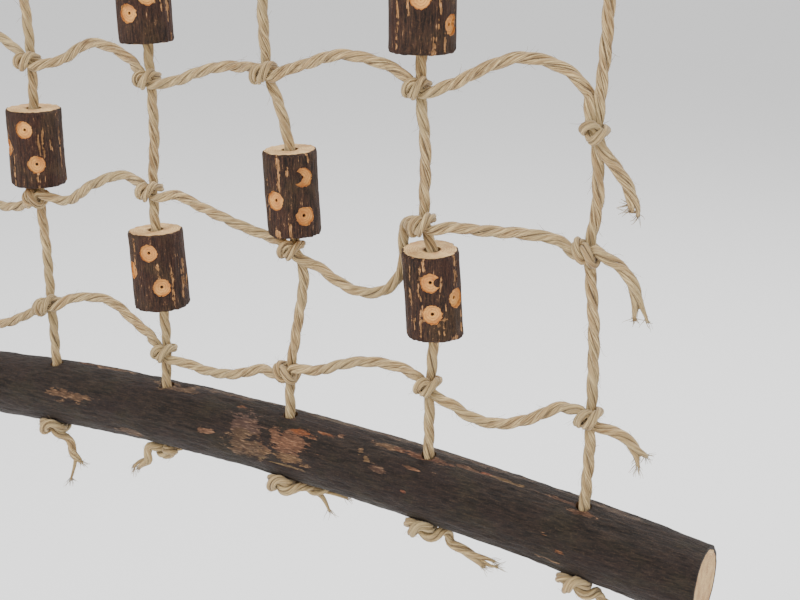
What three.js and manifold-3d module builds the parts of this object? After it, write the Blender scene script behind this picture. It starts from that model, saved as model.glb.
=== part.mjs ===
// Cargo climbing net for small pets: two bark-covered branch bars with a net of twisted flax rope
// between them, wooden blocks threaded on the upright ropes, and two S-hooks to hang it by.
// Millimetres, +Z up, +X along the bars, -Y towards the front. The origin lies midway between the
// centres of the two hooks' upper bends, where the cage wire runs that the net hangs from.
import * as THREE from 'three';
import { mergeVertices } from 'three/addons/utils/BufferGeometryUtils.js';
import Module from 'manifold-3d';

const wasm = await Module();
wasm.setup();

// ---- driving dimensions ----
const clearance = 0.3;            // the least gap between two pieces

const barLength = 360;
const barDiameter = 25;
const topBowRadius = 3240;        // both bars are gently bowed, crest upwards
const bottomBowRadius = 1250;
const bottomBarTop = -257.5;      // crest of the bottom bar, below the underside of the top bar
const barHoleDiameter = 6;
const netForward = 1.5;           // the holes are drilled this far in front of the bars' centre lines

const ropeDiameter = 4;
const ropeSides = 8;
const ropeStep = 12;              // length of one segment of a rope's tube
const knotWidth = 2.7 * ropeDiameter;    // a knot's size along X
const knotDepth = 2.6 * ropeDiameter;    // and along Y
const knotHeight = 2.5 * ropeDiameter;   // and along Z
const tailDiameter = 0.75 * ropeDiameter;

const blockLength = 28;
const blockDiameter = 20;
const boreSlack = 1.6;            // a block's bore is this much wider than its rope
const spotFaceDiameter = 6.4;
const spotFaceDepth = 1.1;

const hookWire = 2.4;
const hookBend = 5;               // radius of each bend, to the middle of the wire
const hookSpan = 20;              // between the centres of the two bends
const hookSpacing = 216;          // between the two hooks
const eyeWire = 2;
const eyeRadius = 4.4;            // of the ring, to the middle of the wire
const eyeStandoff = 4.5;          // bare shank between the ring and the bar
const eyeScrewLength = 9;         // shank inside the bar
const upperBend = [205, -20];     // where the hook's upper bend starts and ends, in degrees
const lowerBend = [160, 385];

// ---- how finely the round shapes are cut ----
const barSides = 14;
const barStep = 24;
const holeSides = 10;
const blockSides = 12;
const boreSides = 8;
const faceSides = 8;
const knotSides = 8;
const knotRings = 4;
const eyeSides = 8;
const eyeSteps = 20;
const hookTurn = 25;              // degrees
const hookStep = 1.7;
const routeSamples = 400;
const mergeDistance = 1e-4;

// ---- places that follow from them ----
const barRadius = barDiameter / 2;
const eyePivotZ = -hookSpan - hookBend + (hookWire + eyeWire) / 2 + clearance;
const eyeBottomZ = eyePivotZ - 2 * eyeRadius - eyeWire / 2;
const drop = (x, bowRadius) => (x * x) / (2 * bowRadius);
const topBarAxisZ = eyeBottomZ - eyeStandoff + drop(hookSpacing / 2, topBowRadius) - barRadius;
const netDatumZ = topBarAxisZ - barRadius;
const bottomBarAxisZ = netDatumZ + bottomBarTop - barRadius;

// ---- the ropes' routes ----
// x and z of every knot, in the net's own frame: z is measured from the underside of the top bar.
// One line for each cross rope from the top, one pair for each upright rope from the left.
const knots = [
  [[-140, -38], [-84, -41], [-28, -37], [26, -40], [83, -37], [140, -40]],
  [[-139, -89], [-84, -86], [-29, -88], [22, -90], [81, -87], [140, -88]],
  [[-141, -139], [-83, -141], [-27, -143], [23, -137], [80, -137.5], [138.5, -145]],
  [[-139, -186], [-85, -192], [-29, -183], [31.5, -195.5], [82, -180], [138, -181]],
  [[-140, -239], [-84, -235], [-27, -244], [28.5, -241], [84.5, -234.5], [141, -233.5]],
];

// Points [x, y, z] of each cross rope between its knots: a free end, five spans, a free end.
const spans = [
  [
    [[-158, 2, -54], [-155, 1, -46], [-148, 0, -39]],
    [[-126, -1, -33], [-112, -2, -30], [-98, -1, -35]],
    [[-71, 1, -45], [-56, 2, -47], [-41, 1, -42]],
    [[-15, -1, -34], [-1, -2, -33], [13, -1, -37]],
    [[40, 1, -45], [55, 2, -46], [70, 1, -41]],
    [[96, -1, -33], [111, -2, -31], [126, -1, -35]],
    [[148, 0, -42], [154, 1, -49], [156, 2, -58]],
  ],
  [
    [[-157, -2, -105], [-154, -1, -98], [-147, 0, -91]],
    [[-126, 1, -94], [-111, 2, -96], [-97, 1, -91]],
    [[-71, -1, -81], [-57, -2, -79], [-42, -1, -83]],
    [[-17, 1, -93], [-4, 2, -96], [10, 1, -94]],
    [[35, -1, -84], [51, -2, -80], [67, -1, -82]],
    [[95, 1, -91], [110, 2, -95], [126, 1, -93]],
    [[148, 0, -90], [154, -1, -96], [157, -2, -105]],
  ],
  [
    [[-159, 2, -154], [-156, 1, -148], [-149, 0, -141]],
    [[-127, -1, -133], [-112, -2, -129], [-97, -1, -133]],
    [[-70, 1, -140], [-56, 2, -133], [-41, 1, -135]],
    [[-16, -1, -143], [-5, -1, -139], [8, -1, -136]],
    [[36, -1, -134], [53, -2, -129], [71, -1, -132]],
    [[90, -1, -136], [104, -2, -129], [115, -2, -125.5], [127, -1, -127.5], [134, 0, -133]],
    [[144, 0, -154], [149, 1, -162], [151, 2, -171]],
  ],
  [
    [[-156, -2, -203], [-153, -1, -196], [-147, 0, -188]],
    [[-126, 1, -192], [-112, 2, -199], [-97, 1, -198]],
    [[-70, -1, -192], [-56, -2, -184], [-42, -1, -179]],
    [[-18, 0, -183.5], [-8, -1, -186], [9, -2, -190], [21, -1, -193]],
    [[47, 1, -205], [56.5, 2, -208.2], [65.5, 3, -206.3], [71.3, 4, -198.8], [72, 4, -187], [74, 2, -181]],
    [[98, -1, -180], [118, -2, -178.5], [128, -1, -179]],
    [[147, 0, -184], [153, -1, -191], [155, -2, -200]],
  ],
  [
    [[-157, 2, -244], [-154, 1, -241], [-148, 0, -240]],
    [[-126, -1, -245], [-112, -2, -248], [-97, -1, -242]],
    [[-71, 1, -231], [-56, 2, -230], [-41, 1, -237]],
    [[-12, -1, -248], [4, -2, -247], [17.5, -1, -242.5]],
    [[41, -1, -238.5], [51, -2, -234], [61, -2, -231], [73, -1, -231]],
    [[97.5, -1, -242.5], [110, -2, -243], [120.5, -1, -239.5], [132, 0, -233]],
    [[149, 0, -237], [155, 1, -242], [159, 2, -248]],
  ],
];

// Further points [x, z] of each upright rope between its knots.
const bends = [
  [[-140, -6], [-139.5, -111], [-140.5, -161], [-139, -212], [-140, -251]],
  [[-84, -6], [-84, -114], [-84.5, -166], [-84.5, -188], [-84, -214], [-84, -249]],
  [[-28, -6], [-28, -114], [-27, -164], [-28.5, -212], [-28, -251]],
  [[28, -6], [24, -64], [21.5, -114], [27.6, -149], [30.7, -162], [31.4, -176], [32, -190],
    [35, -203], [31.5, -226], [28, -252]],
  [[84, -6], [82, -62], [80.5, -111], [80.5, -129], [82, -157], [84.6, -189], [85.3, -221],
    [84, -253]],
  [[140, -6], [140, -64], [140, -116], [139.7, -166], [140.5, -206], [141, -250]],
];
const uprightX = [-140, -84, -28, 28, 84, 140];    // where each one goes through both bars

// Where each stopper knot's frayed tail ends, from the knot: below the bottom bar, above the top bar.
const lowerTails = [[-17, -5, -5], [15, -6, -8], [-16, -6, -5], [20, 0, 1], [26, 0, -6], [15, -3, -3]];
const upperTails = [[14, 4, 6], [-15, -4, 7], [15, -5, 5], [-15, 4, 6], [14, 5, 7], [-14, -4, 6]];

// The blocks, from the left: the upright that a block is threaded on, the cross rope it hangs
// under, the share of the bare rope left over that shows above it, and its girth as a share of
// blockDiameter. One with restsOn sits on that cross rope's knot instead.
const blocks = [
  { upright: 0, under: 1, above: 0.333, girth: 0.97 },
  { upright: 0, under: 3, above: 0.4, girth: 1.06 },
  { upright: 1, restsOn: 3, girth: 1.02 },
  { upright: 2, under: 1, above: 0.529, girth: 0.94 },
  { upright: 2, under: 3, above: 0.435, girth: 1.0 },
  { upright: 3, restsOn: 3, girth: 0.92 },
  { upright: 4, under: 1, above: 0.48, girth: 1.05 },
  { upright: 4, under: 3, above: 0.242, girth: 0.94 },
];

// Round faces cut through a block's bark: [degrees round the block from the front, height share].
const spotFaces = [[[20, 0.28], [-34, 0.02], [42, -0.18]], [[-12, 0.2], [2, -0.14], [48, 0.06]]];

// ---- materials ----
const paint = (color, roughness, metalness) => {
  return new THREE.MeshStandardMaterial({ color, roughness, metalness });
};
const flaxRope = paint(0xb39d7a, 0.95, 0);
const bark = paint(0x3b2a24, 0.9, 0);
const zincWire = paint(0xb9bcc0, 0.35, 1);

// ---- solids ----
function toSolid(geometry) {
  const bare = geometry.clone();
  bare.deleteAttribute('normal');
  bare.deleteAttribute('uv');
  const merged = mergeVertices(bare, mergeDistance);
  const vertProperties = Float32Array.from(merged.attributes.position.array);
  const triVerts = Uint32Array.from(merged.index.array);
  return new wasm.Manifold(new wasm.Mesh({ numProp: 3, vertProperties, triVerts }));
}

function toGeometry(solid) {
  const mesh = solid.getMesh();
  const geometry = new THREE.BufferGeometry();
  geometry.setAttribute('position', new THREE.BufferAttribute(mesh.vertProperties, 3));
  geometry.setIndex(new THREE.BufferAttribute(mesh.triVerts, 1));
  geometry.computeVertexNormals();
  return geometry;
}

function addNode(group, name, geometry, material) {
  const mesh = new THREE.Mesh(geometry, material);
  mesh.name = name;
  group.add(mesh);
  return mesh;
}

function roundSection(radius, sides) {
  const corners = [];
  for (let i = 0; i < sides; i += 1) {
    const angle = (2 * Math.PI * (i + 0.5)) / sides;
    corners.push(new THREE.Vector2(radius * Math.cos(angle), radius * Math.sin(angle)));
  }
  return new THREE.Shape(corners);
}

function tube(points, radius, sides, step) {
  const path = new THREE.CatmullRomCurve3(points, false, 'centripetal');
  const steps = Math.max(2, Math.round(path.getLength() / step));
  const settings = { extrudePath: path, steps, bevelEnabled: false };
  return toSolid(new THREE.ExtrudeGeometry(roundSection(radius, sides), settings));
}

// A cylinder along Z between two heights.
function rod(x, y, lowZ, highZ, radius, sides) {
  const geometry = new THREE.CylinderGeometry(radius, radius, highZ - lowZ, sides);
  geometry.rotateX(Math.PI / 2);
  geometry.translate(x, y, (lowZ + highZ) / 2);
  return toSolid(geometry);
}

// The rounded body of a knot.
function knotBody(x, y, z) {
  const geometry = new THREE.SphereGeometry(0.5, knotSides, knotRings);
  geometry.rotateX(Math.PI / 2);
  geometry.scale(knotWidth, knotDepth, knotHeight);
  geometry.translate(x, y, z);
  return toSolid(geometry);
}

const point = (x, y, z) => new THREE.Vector3(x, y, z);

// ---- bars ----
// A drilled length of branch. surfaceZ gives the height of its upper or lower side over a hole.
function branch(axisZ, bowRadius) {
  const overrun = 10;    // past the sawn ends
  const halfSteps = 6;
  const points = [];
  for (let i = -halfSteps; i <= halfSteps; i += 1) {
    const x = (i / halfSteps) * (barLength / 2 + overrun);
    points.push(point(x, 0, axisZ - drop(x, bowRadius)));
  }
  const raw = tube(points, barRadius, barSides, barStep);
  const sawn = new THREE.BoxGeometry(barLength, 3 * barDiameter, 6 * barDiameter);
  sawn.translate(0, 0, axisZ);
  let solid = raw.intersect(toSolid(sawn));
  for (const x of uprightX) {
    const middle = axisZ - drop(x, bowRadius);
    const [low, high] = [middle - barDiameter, middle + barDiameter];
    const hole = rod(x, -netForward, low, high, barHoleDiameter / 2, holeSides);
    solid = solid.subtract(hole);
  }
  return solid;
}

const barHalfHeight = Math.sqrt(barRadius ** 2 - netForward ** 2);
const topBarUpperZ = (x) => topBarAxisZ - drop(x, topBowRadius) + barHalfHeight;
const bottomBarLowerZ = (x) => bottomBarAxisZ - drop(x, bottomBowRadius) - barHalfHeight;

const net = new THREE.Group();
const hung = new THREE.Group();
hung.position.set(0, -netForward, netDatumZ);

const eyeX = [-hookSpacing / 2, hookSpacing / 2];
const screwBottomZ = eyeBottomZ - eyeStandoff - eyeScrewLength;
let topBar = branch(topBarAxisZ, topBowRadius);
for (const x of eyeX) {
  const pilotRadius = eyeWire / 2 + clearance;
  const pilot = rod(x, 0, screwBottomZ - clearance, eyeBottomZ, pilotRadius, holeSides);
  topBar = topBar.subtract(pilot);
}
addNode(net, 'top_bar', toGeometry(topBar), bark);
addNode(net, 'bottom_bar', toGeometry(branch(bottomBarAxisZ, bottomBowRadius)), bark);

// ---- hooks and screw eyes ----
function sHook(x) {
  const points = [];
  const arc = (centreZ, [from, to]) => {
    const turns = Math.floor(Math.abs(to - from) / hookTurn);
    for (let k = 0; k <= turns; k += 1) {
      const angle = THREE.MathUtils.degToRad(from + k * hookTurn * Math.sign(to - from));
      points.push(point(x, hookBend * Math.cos(angle), centreZ + hookBend * Math.sin(angle)));
    }
  };
  arc(0, upperBend);
  arc(-hookSpan, lowerBend);
  return tube(points, hookWire / 2, ropeSides, hookStep);
}

function screwEye(x) {
  const ring = new THREE.TorusGeometry(eyeRadius, eyeWire / 2, eyeSides, eyeSteps);
  ring.rotateX(Math.PI / 2);
  ring.translate(x, 0, eyePivotZ - eyeRadius);
  const shank = rod(x, 0, screwBottomZ, eyeBottomZ + eyeWire / 2, eyeWire / 2, holeSides);
  return toSolid(ring).add(shank);
}

['left', 'right'].forEach((side, i) => {
  addNode(net, `hook_${side}`, toGeometry(sHook(eyeX[i])), zincWire);
  addNode(net, `screw_eye_${side}`, toGeometry(screwEye(eyeX[i])), zincWire);
});

// ---- upright ropes ----
// Each one runs from a stopper knot on the top bar, through both bars, to one under the bottom bar.
const knotToBar = 0.6;
const seat = knotHeight / 2 + knotToBar;
const upperStopper = (i) => point(uprightX[i], 0, topBarUpperZ(uprightX[i]) - netDatumZ + seat);
const lowerStopper = (i) => point(uprightX[i], 0, bottomBarLowerZ(uprightX[i]) - netDatumZ - seat);

function uprightRoute(i) {
  const between = knots.map((row) => row[i]).concat(bends[i]);
  between.sort((a, b) => b[1] - a[1]);
  const straight = 8;    // the rope is upright where it leaves a bar
  return [
    upperStopper(i),
    point(uprightX[i], 0, barRadius),
    ...between.map(([x, z]) => point(x, 0, z)),
    point(uprightX[i], 0, bottomBarTop - drop(uprightX[i], bottomBowRadius) - straight),
    lowerStopper(i),
  ];
}

function tail(start, offset) {
  const [x, y, z] = offset;
  const middle = start.clone().add(point(x / 2, y / 2, z / 3));
  const end = start.clone().add(point(x, y, z));
  return tube([start, middle, end], tailDiameter / 2, ropeSides, ropeStep);
}

uprightX.forEach((x, i) => {
  const top = upperStopper(i);
  const bottom = lowerStopper(i);
  const solid = tube(uprightRoute(i), ropeDiameter / 2, ropeSides, ropeStep)
    .add(knotBody(top.x, top.y, top.z))
    .add(knotBody(bottom.x, bottom.y, bottom.z))
    .add(tail(top, point(...upperTails[i])))
    .add(tail(bottom, point(...lowerTails[i])));
  addNode(hung, `upright_rope_${i + 1}`, toGeometry(solid), flaxRope);
});

// ---- cross ropes ----
// Each one is knotted round every upright, so a knot has a hole that the upright passes through.
const sleeves = uprightX.map((x, i) => {
  return tube(uprightRoute(i), ropeDiameter / 2 + clearance, ropeSides, ropeStep);
});

spans.forEach((row, r) => {
  const points = [];
  row.forEach((span, s) => {
    span.forEach((p) => points.push(point(...p)));
    if (s < uprightX.length) {
      points.push(point(knots[r][s][0], 0, knots[r][s][1]));
    }
  });
  let solid = tube(points, ropeDiameter / 2, ropeSides, ropeStep);
  knots[r].forEach(([x, z]) => {
    solid = solid.add(knotBody(x, 0, z));
  });
  sleeves.forEach((sleeve) => {
    solid = solid.subtract(sleeve);
  });
  addNode(hung, `cross_rope_${r + 1}`, toGeometry(solid), flaxRope);
});

// ---- blocks ----
function drilledBlock(girth, bore, spots) {
  const radius = (girth * blockDiameter) / 2;
  const end = blockLength / 2;
  let solid = rod(0, 0, -end, end, radius, blockSides);
  solid = solid.subtract(rod(0, 0, -blockLength, blockLength, bore / 2, boreSides));
  for (const [degrees, share] of spots) {
    const faceRadius = spotFaceDiameter / 2;
    const face = new THREE.CylinderGeometry(faceRadius, faceRadius, blockDiameter, faceSides);
    face.translate(0, -radius - blockDiameter / 2 + spotFaceDepth, share * blockLength);
    face.rotateZ(THREE.MathUtils.degToRad(degrees));
    solid = solid.subtract(toSolid(face));
  }
  return solid;
}

blocks.forEach((block, b) => {
  const knotZ = (row) => knots[row][block.upright][1];
  const away = (knotHeight + blockLength) / 2;
  let z = 0;
  if (block.restsOn === undefined) {
    const spare = knotZ(block.under) - knotZ(block.under + 1) - 2 * away;
    z = knotZ(block.under) - away - block.above * spare;
  } else {
    z = knotZ(block.restsOn) + away + clearance;
  }
  // The stretch of rope inside the block, whose two ends the block's own line passes through.
  const path = new THREE.CatmullRomCurve3(uprightRoute(block.upright), false, 'centripetal');
  const inside = path.getPoints(routeSamples).filter((p) => Math.abs(p.z - z) <= blockLength / 2);
  const [upper, lower] = [inside[0], inside[inside.length - 1]];
  const middleX = (upper.x + lower.x) / 2;
  const slope = (upper.x - lower.x) / (upper.z - lower.z);
  const sway = Math.max(...inside.map((p) => Math.abs(p.x - middleX - slope * (p.z - z))));
  const bore = ropeDiameter + Math.max(boreSlack, 2 * (sway + clearance));
  const mesh = addNode(
    hung,
    `block_${b + 1}`,
    toGeometry(drilledBlock(block.girth, bore, spotFaces[b % spotFaces.length])),
    bark,
  );
  mesh.position.set(middleX, 0, z);
  mesh.rotation.y = Math.atan(slope);
});

net.add(hung);

export default net;
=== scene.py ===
import math

import bpy
import numpy as np
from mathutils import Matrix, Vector, noise


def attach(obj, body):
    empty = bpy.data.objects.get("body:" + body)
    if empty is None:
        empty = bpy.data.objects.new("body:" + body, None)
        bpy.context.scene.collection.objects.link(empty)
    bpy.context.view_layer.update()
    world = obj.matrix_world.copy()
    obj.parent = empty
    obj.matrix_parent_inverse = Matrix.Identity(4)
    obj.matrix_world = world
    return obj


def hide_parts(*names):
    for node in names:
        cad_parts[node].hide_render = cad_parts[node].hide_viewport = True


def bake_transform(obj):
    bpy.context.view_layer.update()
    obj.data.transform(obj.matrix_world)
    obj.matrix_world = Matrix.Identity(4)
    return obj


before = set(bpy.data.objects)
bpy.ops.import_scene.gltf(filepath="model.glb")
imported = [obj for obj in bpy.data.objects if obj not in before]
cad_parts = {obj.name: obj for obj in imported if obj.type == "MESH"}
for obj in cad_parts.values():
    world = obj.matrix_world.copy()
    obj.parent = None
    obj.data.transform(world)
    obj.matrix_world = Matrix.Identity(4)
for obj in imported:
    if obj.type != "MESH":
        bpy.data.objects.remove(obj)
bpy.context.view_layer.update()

MM = 0.001

# ---------------------------------------------------------------------------------------------
# The camera stands a little to the right of the net and above its lower bar, looking down at
# the right half of the bar and the three uprights over it.
# ---------------------------------------------------------------------------------------------
bpy.ops.object.camera_add(
    location=(0.27247, -0.35279, -0.13111),
    rotation=(math.radians(71.32), 0, math.radians(29.61)),
)
camera = bpy.context.object
camera.name = "camera"
camera.data.lens = 58.5
camera.data.clip_start = 0.01
camera.data.clip_end = 20
bpy.context.scene.camera = camera

# ---------------------------------------------------------------------------------------------
# The net is 4 mm flax rope of three strands, laid left-handed: six uprights, which run through
# both bars, and five cross ropes, each tied round every upright in a half knot. Millimetres in
# the net's own frame, where z is measured from the underside of the top bar.
# ---------------------------------------------------------------------------------------------
NET_FORWARD, NET_DATUM = -1.5, -60.0
UPRIGHT_X = [-140, -84, -28, 28, 84, 140]
KNOTS = [
    [(-140, -38), (-84, -41), (-28, -37), (26, -40), (83, -37), (140, -40)],
    [(-139, -89), (-84, -86), (-29, -88), (22, -90), (81, -87), (140, -88)],
    [(-141, -139), (-83, -141), (-27, -143), (23, -137), (80, -137.5), (138.5, -145)],
    [(-139, -186), (-85, -192), (-29, -183), (31.5, -195.5), (82, -180), (138, -181)],
    [(-140, -239), (-84, -235), (-27, -244), (28.5, -241), (84.5, -234.5), (141, -233.5)],
]
SPANS = [
    [
        [(-158, 2, -54), (-155, 1, -46), (-148, 0, -39)],
        [(-126, -1, -33), (-112, -2, -30), (-98, -1, -35)],
        [(-71, 1, -45), (-56, 2, -47), (-41, 1, -42)],
        [(-15, -1, -34), (-1, -2, -33), (13, -1, -37)],
        [(40, 1, -45), (55, 2, -46), (70, 1, -41)],
        [(96, -1, -33), (111, -2, -31), (126, -1, -35)],
        [(148, 0, -42), (154, 1, -49), (156, 2, -58)],
    ],
    [
        [(-157, -2, -105), (-154, -1, -98), (-147, 0, -91)],
        [(-126, 1, -94), (-111, 2, -96), (-97, 1, -91)],
        [(-71, -1, -81), (-57, -2, -79), (-42, -1, -83)],
        [(-17, 1, -93), (-4, 2, -96), (10, 1, -94)],
        [(35, -1, -84), (51, -2, -80), (67, -1, -82)],
        [(95, 1, -91), (110, 2, -95), (126, 1, -93)],
        [(148, 0, -90), (154, -1, -96), (157, -2, -105)],
    ],
    [
        [(-159, 2, -154), (-156, 1, -148), (-149, 0, -141)],
        [(-127, -1, -133), (-112, -2, -129), (-97, -1, -133)],
        [(-70, 1, -140), (-56, 2, -133), (-41, 1, -135)],
        [(-16, -1, -143), (-5, -1, -139), (8, -1, -136)],
        [(36, -1, -134), (53, -2, -129), (71, -1, -132)],
        [(90, -1, -136), (104, -2, -129), (115, -2, -125.5), (127, -1, -127.5), (134, 0, -133)],
        [(144, 0, -154), (149, 1, -162), (151, 2, -171)],
    ],
    [
        [(-156, -2, -203), (-153, -1, -196), (-147, 0, -188)],
        [(-126, 1, -192), (-112, 2, -199), (-97, 1, -198)],
        [(-70, -1, -192), (-56, -2, -184), (-42, -1, -179)],
        [(-18, 0, -183.5), (-8, -1, -186), (9, -2, -190), (21, -1, -193)],
        [(47, 1, -205), (56.5, 2, -208.2), (65.5, 3, -206.3), (71.3, 4, -198.8), (72, 4, -187),
         (74, 2, -181)],
        [(98, -1, -180), (118, -2, -178.5), (128, -1, -179)],
        [(147, 0, -184), (153, -1, -191), (155, -2, -200)],
    ],
    [
        [(-157, 2, -244), (-154, 1, -241), (-148, 0, -240)],
        [(-126, -1, -245), (-112, -2, -248), (-97, -1, -242)],
        [(-71, 1, -231), (-56, 2, -230), (-41, 1, -237)],
        [(-12, -1, -248), (4, -2, -247), (17.5, -1, -242.5)],
        [(41, -1, -238.5), (51, -2, -234), (61, -2, -231), (73, -1, -231)],
        [(97.5, -1, -242.5), (110, -2, -243), (120.5, -1, -239.5), (132, 0, -233)],
        [(149, 0, -237), (155, 1, -242), (159, 2, -248)],
    ],
]
BENDS = [
    [(-140, -6), (-139.5, -111), (-140.5, -161), (-139, -212), (-140, -251)],
    [(-84, -6), (-84, -114), (-84.5, -166), (-84.5, -188), (-84, -214), (-84, -249)],
    [(-28, -6), (-28, -114), (-27, -164), (-28.5, -212), (-28, -251)],
    [(28, -6), (24, -64), (21.5, -114), (27.6, -149), (30.7, -162), (31.4, -176), (32, -190),
     (35, -203), (31.5, -226), (28, -252)],
    [(84, -6), (82, -62), (80.5, -111), (80.5, -129), (82, -157), (84.6, -189), (85.3, -221),
     (84, -253)],
    [(140, -6), (140, -64), (140, -116), (139.7, -166), (140.5, -206), (141, -250)],
]
BAR_RADIUS, BOTTOM_BAR_TOP = 12.5, -257.5
TOP_BOW, BOTTOM_BOW = 3240, 1250
ROUTE_STEP = 0.7


def drop(x, bow):
    return x * x / (2 * bow)


def evenly(points, step=None, count=None):
    """The line through the points, cut into even steps. Any further columns go along."""
    points = np.asarray(points, float)
    run = np.concatenate([[0], np.cumsum(np.linalg.norm(np.diff(points[:, :3], axis=0), axis=1))])
    count = count or max(4, int(round(run[-1] / step)) + 1)
    at = np.linspace(0, run[-1], count)
    return np.stack([np.interp(at, run, column) for column in points.T], 1)


def smooth_route(points):
    """A centripetal Catmull-Rom curve through the points."""
    p = np.array(points, float)
    p = np.vstack([2 * p[0] - p[1], p, 2 * p[-1] - p[-2]])
    curve = []
    share = np.linspace(0, 1, 30, endpoint=False)[:, None]
    for k in range(1, len(p) - 2):
        a, b, c, d = p[k - 1 : k + 3]
        ab, bc, cd = [math.sqrt(np.linalg.norm(q - r)) for q, r in ((a, b), (b, c), (c, d))]
        leave = ((b - a) / ab - (c - a) / (ab + bc) + (c - b) / bc) * bc
        reach = ((c - b) / bc - (d - b) / (bc + cd) + (d - c) / cd) * bc
        s2, s3 = share**2, share**3
        curve.append(
            (2 * s3 - 3 * s2 + 1) * b + (s3 - 2 * s2 + share) * leave
            + (3 * s2 - 2 * s3) * c + (s3 - s2) * reach
        )
    curve.append(p[-2:-1])
    return evenly(np.vstack(curve), ROUTE_STEP)


def loose_half_knot(centre, start, end, hand, side):
    """The rope's path through a half knot before it is pulled tight. Its two parts are twisted
    round each other on one side of centre, and the loop goes round the other side."""
    turn = np.linspace(0, 1, 60)[:, None]
    reach, radius, forward = 6.5, 3.0, 6.5 * side
    angle = math.radians(90) * side + math.radians(540) * hand * turn
    across = -reach + 2 * reach * turn
    first = np.hstack([across, forward + radius * np.sin(angle), radius * np.cos(angle)])
    second = np.hstack([across, forward - radius * np.sin(angle), -radius * np.cos(angle)])
    round_ = np.linspace(0, math.pi, 30)[:, None]
    loop = np.hstack([
        (reach + 1.5) * np.cos(round_),
        forward - side * 12.5 * np.sin(round_),
        0 * round_,
    ])
    inner = np.vstack([first, loop, second]) + np.asarray(centre, float)
    return np.vstack([[start], inner, [end]])


PULL_ROUNDS = 45
PULL_TURNS, PULL_POINTS = 8, 96
TENSION, STIFFNESS, CONTACT, MOST_PUSH = 0.32, 0.04, 0.28, 0.6


def pull_tight(paths, gap, keep_clear, haul=0.0):
    """Shortens the paths, with their ends held, until the rope lies on itself and on whatever
    keep_clear moves it away from. haul pulls every point up by as much at each turn."""
    count = PULL_POINTS
    rope = np.stack([evenly(path, count=count) for path in paths])
    ends = rope[:, 0].copy(), rope[:, -1].copy()
    place = np.arange(count)
    apart = np.abs(place[:, None] - place[None, :])
    for _ in range(PULL_ROUNDS):
        step = np.linalg.norm(np.diff(rope, axis=1), axis=2).mean(1)
        far = apart[None] > np.ceil(1.55 * gap / step)[:, None, None]
        for _ in range(PULL_TURNS):
            moved = rope.copy()
            moved[:, 1:-1] += TENSION * (0.5 * (rope[:, :-2] + rope[:, 2:]) - rope[:, 1:-1])
            moved[:, 2:-2] -= STIFFNESS * (
                rope[:, :-4] - 4 * rope[:, 1:-3] + 6 * rope[:, 2:-2] - 4 * rope[:, 3:-1] + rope[:, 4:]
            )
            rope = moved
            rope[:, 1:-1, 2:] += haul
            for _ in range(2):
                away = rope[:, :, None, :] - rope[:, None, :, :]
                near = np.sqrt((away**2).sum(-1)) + 1e-9
                push = np.where(far & (near < gap), (gap - near) / near, 0.0)
                shove = (push[..., None] * away).sum(2)
                rope = rope + CONTACT * np.clip(shove, -MOST_PUSH, MOST_PUSH)
                rope = keep_clear(rope)
            rope[:, 0], rope[:, -1] = ends
        rope = np.stack([evenly(path, count=count) for path in rope])
    return rope


def beside(route, centre, reach):
    """Where the route passes reach before and after its nearest point to centre."""
    near = int(np.argmin(np.linalg.norm(route - np.asarray(centre), axis=1)))
    away = int(round(reach / ROUTE_STEP))
    return max(2, near - away), min(len(route) - 3, near + away)


# Each upright's middle stretch, from the top bar's hole to the bottom bar's.
upright_routes = []
for i, x in enumerate(UPRIGHT_X):
    between = sorted([row[i] for row in KNOTS] + BENDS[i], key=lambda at: -at[1])
    low = BOTTOM_BAR_TOP - drop(x, BOTTOM_BOW)
    points = [(x, 0, 28), (x, 0, BAR_RADIUS)] + [(px, 0, pz) for px, pz in between]
    points += [(x, 0, low - 8), (x, 0, low - 27)]
    upright_routes.append(smooth_route(points))

# The half knots of the cross ropes, each round its upright. The two turns of rope stand taller
# than they are deep, so they are pulled tight in a frame that is flattened along Z.
KNOT_GAP, POST_GAP, KNOT_REACH, KNOT_FLAT = 2.75, 3.2, 10.5, 0.6
LEFT_HANDED = {(0, 1), (1, 0), (3, 1), (4, 0), (4, 3), (1, 4), (3, 5), (0, 5)}
cross_routes, knot_spans, loose, post_at, post_way = [], [], [], [], []
for r, row in enumerate(SPANS):
    points = []
    for s, span in enumerate(row):
        points += span
        if s < len(UPRIGHT_X):
            points.append((KNOTS[r][s][0], 0, KNOTS[r][s][1]))
    route = smooth_route(points)
    cross_routes.append(route)
    for s, (kx, kz) in enumerate(KNOTS[r]):
        low, high = beside(route, (kx, 0, kz), KNOT_REACH)
        hand = -1 if (r, s) in LEFT_HANDED else 1
        knot_spans.append((r, low, high))
        flat = np.array([1, 1, KNOT_FLAT])
        centre = (kx, 0, kz * KNOT_FLAT)
        loose.append(loose_half_knot(centre, route[low] * flat, route[high] * flat, hand, -1))
        upright = upright_routes[s] * flat
        near = int(np.argmin(np.abs(upright[:, 2] - kz * KNOT_FLAT)))
        way = upright[near + 4] - upright[near - 4]
        post_at.append(upright[near])
        post_way.append(way / np.linalg.norm(way))
post_at, post_way = np.array(post_at)[:, None, :], np.array(post_way)[:, None, :]


def clear_of_upright(rope):
    out = rope - post_at
    out = out - (out * post_way).sum(-1, keepdims=True) * post_way
    far = np.linalg.norm(out, axis=-1, keepdims=True) + 1e-9
    return rope + 0.6 * np.where(far < POST_GAP, (POST_GAP - far) / far, 0.0) * out


tight = pull_tight(loose, KNOT_GAP, clear_of_upright)
tight = tight / np.array([1, 1, KNOT_FLAT])
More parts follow.
